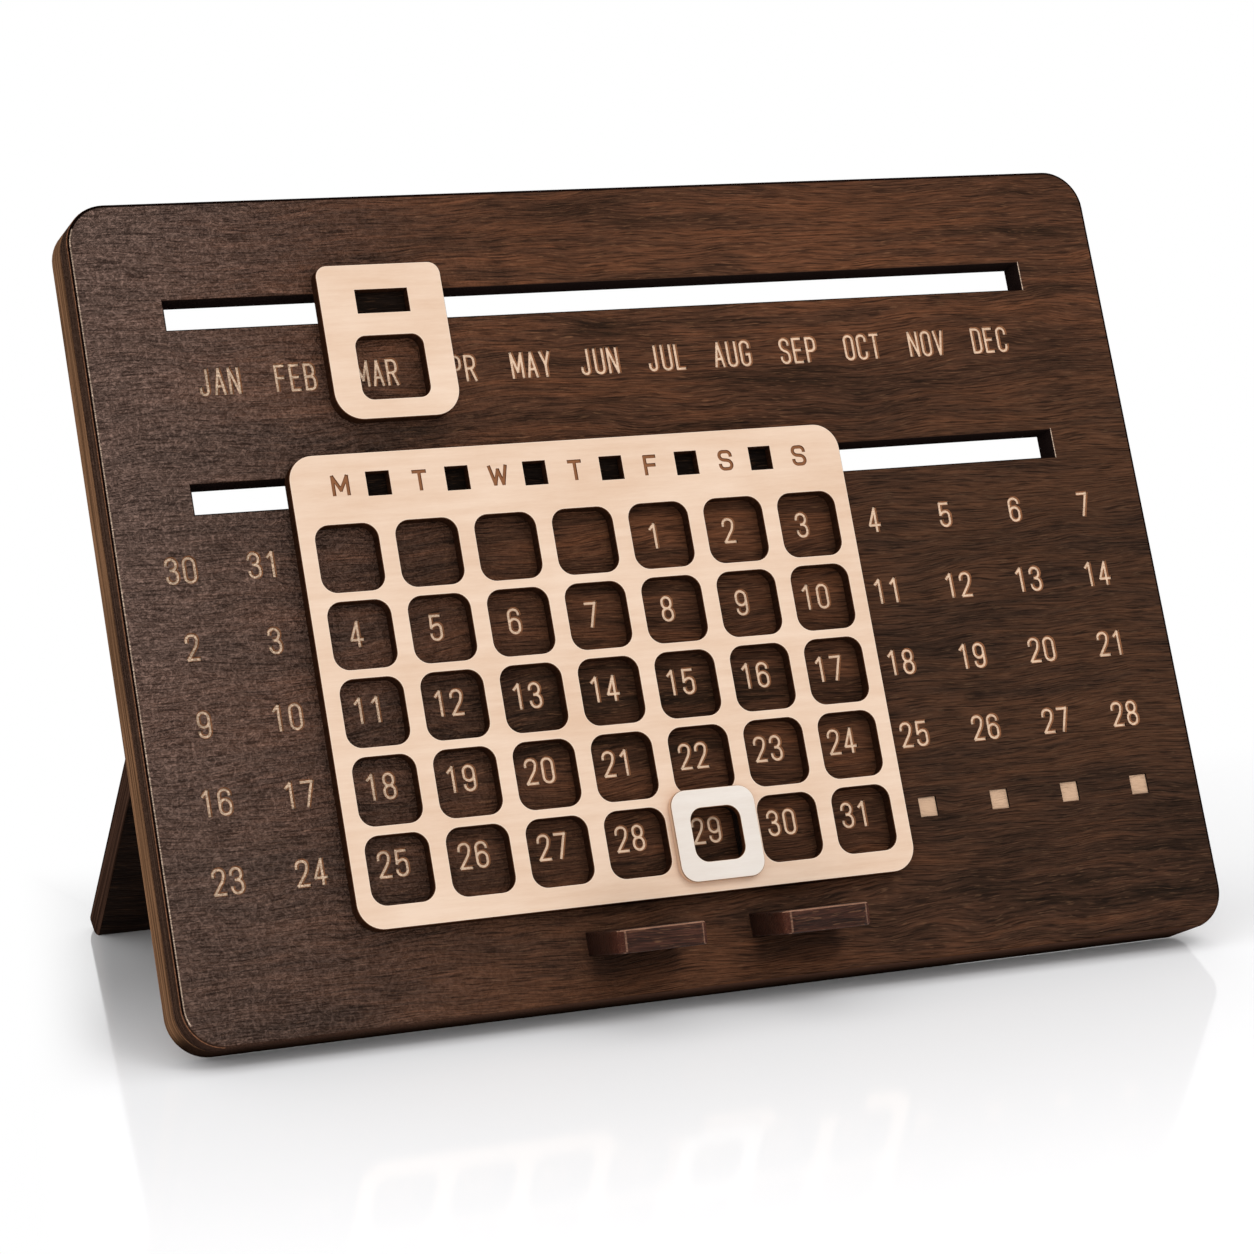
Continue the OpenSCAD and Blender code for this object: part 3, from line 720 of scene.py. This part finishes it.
def maple(name, where, top, pale, deep, burn, letters=None, rim=None, rim_from=0.0):
    """Sanded maple: faint straight figure, tiny flecks, scorched where the laser cut it, and a painted
    highlight on the face's arrises. letters colours what is engraved below its top, rim the walls further
    than rim_from from its middle."""
    made, wire = new_material(name)
    spot = wood_place(wire, where)
    along, up, out = spot.parts()
    facing = wood_facing(wire, where).parts()[2]

    def grained(x, y, z, detail):
        """Noise whose grains are 1/x mm long and 1/y mm wide."""
        place = wire.node("ShaderNodeVectorMath", {"operation": "MULTIPLY"}, {0: spot, 1: (x, y, z)})
        return place.noise(detail, 0.6)

    cloud = grained(0.03, 0.06, 0.05, 2.0)
    figure = grained(0.04, 0.5, 0.5, 4.0)
    fleck = grained(0.4, 3.0, 2.0, 2.0)
    base = (cloud * 0.45 + figure * 0.4 + fleck * 0.15).ramp((0.36, deep), (0.64, pale))
    wall = (1 - (facing > 0.8)) * (1 - (facing < -0.8))
    burnt = grained(1.2, 1.2, 0.25, 3.0).ramp((0.3, burn), (0.75, tuple(c * 2.4 for c in burn)))
    if rim:
        burnt = burnt.tint((*rim, 1), (along * along + up * up) > rim_from ** 2)
    base = base.tint(burnt, wall)
    # The front arris is toasted on the wall's side and carries a painted highlight on the face's.
    base = base.tint(colour(108, 68, 44), wall * (facing > 0.1) * 0.8)
    base = base.tint(colour(246, 228, 208), (facing > 0.8) * (facing < 0.97) * 0.6)
    if letters:
        base = base.tint(letters, (facing > 0.97) * (out < top - 0.2) * (out > top - 0.5))
    bump = wire.node("ShaderNodeBump",
                     links={"Strength": 0.25, "Distance": 0.0001, "Height": fleck * 0.6 + figure * 0.4})
    wood = wire.node("ShaderNodeBsdfPrincipled",
                     links={"Base Color": base, "Roughness": 0.56 - figure * 0.1, "Normal": bump,
                            "Specular IOR Level": 0.12})
    char = wire.node("ShaderNodeBsdfPrincipled", links={"Base Color": base, "Normal": bump,
                                                        "Roughness": 0.9, "Specular IOR Level": 0.0})
    wood = wire.node("ShaderNodeMixShader", links={0: wall, 1: wood, 2: char})
    wire.node("ShaderNodeOutputMaterial", links={0: wood})
    return made


maple_pale, maple_deep, scorched = tone(237, 210, 187), tone(224, 191, 164), tone(36, 20, 12)
maple_slider = maple("maple_slider", ON_BOARD, plate_top, maple_pale, maple_deep, scorched)
month_slider = plate("month_slider_eased", plate_z, plate_top, maple_ease, slider_w, slider_h, slider_r,
                     up=slider_up, foot_radius=slider_foot_r, at=(month_x, month_line))
carve(month_slider,
      opening(plate_z, plate_top, mortise_ease, month_mortise_w, mortise_h, at=(month_x, month_line)),
      opening(plate_z, plate_top, maple_ease, month_window_w, month_window_h, month_window_r,
              at=(month_x, month_line - month_window_drop)))
mount(month_slider, "month", "maple", maple_slider, "month_slider")


# ---------------------------------------------------------------------------------------
# Week frame. The same maple in one piece: a grid of 35 windows under a head with the seven
# weekday letters, and six square mortises between them for the tenons of its runner.

windows_across, windows_down = 7, 5
window_w, window_h, window_r, window_drop = 17.2, 17.8, 4.0, 19.3
frame_w, frame_up, frame_down, frame_r = 158.3, 8.5, 115.9, 7.0
week_x = pattern_x - column_pitch


def window_grid_tree():
    """A geometry tree that cuts a rectangle of windows and a row of mortises between them in a plate."""
    tree = bpy.data.node_groups.new("window_grid", "GeometryNodeTree")
    tree.interface.new_socket("Plate", in_out="INPUT", socket_type="NodeSocketGeometry")
    for name in ("Window", "Mortise"):
        tree.interface.new_socket(name, in_out="INPUT", socket_type="NodeSocketObject")
    for name in ("Column Pitch", "Row Pitch", "First Row"):
        tree.interface.new_socket(name, in_out="INPUT", socket_type="NodeSocketFloat")
    for name in ("Columns", "Rows"):
        tree.interface.new_socket(name, in_out="INPUT", socket_type="NodeSocketInt")
    tree.interface.new_socket("Material", in_out="INPUT", socket_type="NodeSocketMaterial")
    tree.interface.new_socket("Frame", in_out="OUTPUT", socket_type="NodeSocketGeometry")
    wire = Wire(tree)
    given = tree.nodes.new("NodeGroupInput")
    blank, window, mortise, pitch_x, pitch_y, first, columns, rows, material = (
        Wire(tree, given.outputs[i]) for i in range(9))

    def repeated(cutter, count_x, count_y, middle_y):
        """A grid of copies of a cutter, joined into one mesh; middle_y is the height of its middle."""
        shape = wire.node("GeometryNodeObjectInfo", {"transform_space": "ORIGINAL"},
                          {"Object": cutter}, out=4)
        grid = wire.node("GeometryNodeMeshGrid", links={"Size X": pitch_x * (count_x - 1),
                                                        "Size Y": pitch_y * (count_y - 1),
                                                        "Vertices X": count_x, "Vertices Y": count_y})
        copies = wire.node("GeometryNodeInstanceOnPoints", links={"Points": grid, "Instance": shape})
        place = wire.node("ShaderNodeCombineXYZ", links={1: middle_y})
        return wire.node("GeometryNodeTransform", links={
            "Geometry": wire.node("GeometryNodeRealizeInstances", links={0: copies}), "Translation": place})

    middle = first - pitch_y * (rows - 1) * 0.5
    frame = wire.node("GeometryNodeMeshBoolean", {"operation": "DIFFERENCE", "solver": "MANIFOLD"},
                      {"Mesh 1": blank, "Mesh 2": repeated(window, columns, rows, middle)})
    frame = wire.node("GeometryNodeMeshBoolean", {"operation": "DIFFERENCE", "solver": "MANIFOLD"},
                      {"Mesh 1": frame, "Mesh 2": repeated(mortise, columns - 1, 1, 0.0)})
    frame = wire.node("GeometryNodeRealizeInstances", links={0: frame})
    frame = wire.node("GeometryNodeSetMaterial", links={"Geometry": frame, "Material": material})
    wire.node("NodeGroupOutput", links={0: frame})
    return tree


maple_frame = maple("maple_frame", ON_BOARD, plate_top, maple_pale, maple_deep, scorched,
                    letters=colour(142, 92, 58))
week_frame = plate("week_frame_lettered", plate_z, plate_top, maple_ease, frame_w, frame_up + frame_down,
                   frame_r, up=frame_up)
divide(week_frame)
window = opening(plate_z, plate_top, maple_ease, window_w, window_h, window_r, steps=8)
mortise = opening(plate_z, plate_top, mortise_ease, mortise_h, mortise_h)
grid = week_frame.modifiers.new("window_grid", "NODES")
grid.node_group = window_grid_tree()
sizes = {"Window": window, "Mortise": mortise, "Column Pitch": column_pitch, "Row Pitch": row_pitch,
         "First Row": -window_drop, "Columns": windows_across, "Rows": windows_down,
         "Material": maple_frame}
for socket in grid.node_group.interface.items_tree:
    if socket.name in sizes:
        grid[socket.identifier] = sizes[socket.name]
settle(week_frame)
for cutter in (window, mortise):
    bpy.data.objects.remove(cutter)
week_frame.data.transform(Matrix.Translation((week_x, week_line, 0)))
letter_shift = 0.5
weekdays = [(letter, week_x + letter_shift + (i - 3) * column_pitch, week_line)
            for i, letter in enumerate("MTWTFSS")]
engrave(week_frame, lettered(weekdays, width=3.3, height=4.8, gap=1, cap=0.35), groove,
        floor=0.78, side=0.1, depth=0.3, face=plate_top, material=maple_frame)
mount(week_frame, "week", "maple", maple_frame, "week_frame")


# ---------------------------------------------------------------------------------------
# Runners and keepers. Dark walnut blocks run in the slots; walnut plates behind the front
# board are screwed to them, so the sliders can't fall off.

def refinish(material, *nodes):
    """Gives solids of the frame that keep their own shape a new surface."""
    for node in nodes:
        frame["nodes"][node].data.materials.clear()
        frame["nodes"][node].data.materials.append(material)


walnut_runner = walnut("walnut_runner", ON_BOARD, tone(13, 8, 6), tone(21, 14, 10), tone(32, 21, 15),
                       flecks=0.1)
refinish(walnut_runner, "month_runner", "week_runner")
refinish(walnut_back, "month_keeper", "week_keeper")


# ---------------------------------------------------------------------------------------
# Date marker. A ring of white-stained wood, 2 mm thick, with a dark rim glued behind it
# that plugs into whichever window holds today's date.

marker_at = pattern_x, week_line - window_drop - (windows_down - 1) * row_pitch
marker_w, marker_h, marker_r, hole_w, hole_r = 24.2, 24.5, 4.5, 14.2, 3.5
marker_z, marker_t = 4.5, 2.0
marker_top = marker_z + marker_t
AT_MARKER = ON_BOARD @ Matrix.Translation((*marker_at, 0))
ivory = maple("ivory_marker", AT_MARKER, marker_top, tone(236, 227, 218), tone(226, 214, 203),
              tone(50, 28, 16), rim=tone(226, 188, 158), rim_from=10.3)
date_marker = plate("date_marker_eased", marker_z, marker_top, maple_ease, marker_w, marker_h, marker_r,
                    at=marker_at)
carve(date_marker, opening(marker_z, marker_top, maple_ease, hole_w, hole_w, hole_r, at=marker_at))
mount(date_marker, "marker", "ivory", ivory, "date_marker")
refinish(walnut_runner, "marker_spigot")


# ---------------------------------------------------------------------------------------
# Rear leg. One walnut plate, bevelled at the foot to lie flat on the desk and at the head
# to stop against the boards when it is open.

hinge_y, pin_off, stop_gap = 116.0, 2.6, 0.3
leg_t, leg_w, leg_r, leg_ease = 8.4, 260.0, 5.0, 0.5
leg_open = math.radians(59)
AT_HINGE = ON_BOARD @ Matrix.Translation((0, hinge_y, boards_back - pin_off))
ON_LEG = AT_HINGE @ Matrix.Rotation(leg_open, 4, "X")
pin_height = ON_LEG.translation.z / MM
leg_turn = math.pi / 2 - lean + leg_open


def to_desk(z):
    """How far down the leg a layer of it, z from the pin, meets the desk."""
    return (pin_height - z * math.cos(leg_turn)) / math.sin(leg_turn)


def to_board(z):
    """How far up the leg a layer of it, z from the pin, meets the back of the boards."""
    return (pin_off - stop_gap + z * math.cos(leg_open)) / math.sin(leg_open)


# The leg's wood is painted darker throughout, standing in for the shade on its face towards the boards.
walnut_leg_painted_shade = walnut("walnut_leg_painted_shade", ON_LEG, tone(16, 10, 8), tone(26, 17, 13), tone(40, 27, 20),
                    sides=tone(62, 43, 34), flecks=0.08)
leg_back = pin_off + leg_t
side_view = [(to_board(pin_off), -pin_off), (to_board(leg_back), -leg_back),
             (-to_desk(leg_back), -leg_back), (-to_desk(pin_off), -pin_off)]
leg_up, leg_down = to_board(leg_back), to_desk(leg_back)
rear_leg = plate("rear_leg_eased", -leg_back, -pin_off, leg_ease, leg_w, leg_up + leg_down, leg_r,
                 up=leg_up)
# The bevels come from the leg's side view, swept across it.
edge_on = Matrix(((0, 0, 1, 0), (1, 0, 0, 0), (0, 1, 0, 0), (0, 0, 0, 1)))
profile = solid("leg_profile", [(x, side_view[::-1]) for x in (-leg_w, leg_w)], edge_on)
shape = rear_leg.modifiers.new("shape", "BOOLEAN")
shape.operation, shape.solver, shape.object = "INTERSECT", "MANIFOLD", profile
settle(rear_leg)
bpy.data.objects.remove(profile)
mount(rear_leg, "leg", "walnut", walnut_leg_painted_shade, "rear_leg", where=ON_LEG)


# ---------------------------------------------------------------------------------------
# Hinges and screws. Two brass butt hinges, pressed and brushed, with countersunk brass
# screws; the same screws hold the keepers.

def brass(name, where):
    """Brushed brass with fine scratches along x and a little tarnish."""
    made, wire = new_material(name)
    spot = wood_place(wire, where)
    lines = wire.node("ShaderNodeVectorMath", {"operation": "MULTIPLY"}, {0: spot, 1: (0.15, 6.0, 6.0)})
    scratch = lines.noise(4.0, 0.5)
    stain = spot.noise(3.0, 0.5, scale=0.3)
    base = (scratch * 0.4 + stain * 0.6).ramp((0.3, tone(150, 112, 56)), (0.7, tone(206, 168, 96)))
    bump = wire.node("ShaderNodeBump", links={"Strength": 0.2, "Distance": 0.00005, "Height": scratch})
    metal = wire.node("ShaderNodeBsdfPrincipled",
                      links={"Base Color": base, "Metallic": 1.0, "Normal": bump,
                             "Roughness": scratch.fade(0.2, 0.8, 0.28, 0.46)})
    wire.node("ShaderNodeOutputMaterial", links={0: metal})
    return made


refinish(brass("brass_board", ON_BOARD), "board_leaf_left", "board_leaf_right", "hinge_pin_left",
         "hinge_pin_right", "board_leaf_screws", "month_keeper_screws", "week_keeper_screws")
refinish(brass("brass_leg", ON_LEG), "leg_leaf_left", "leg_leaf_right", "leg_leaf_screws")
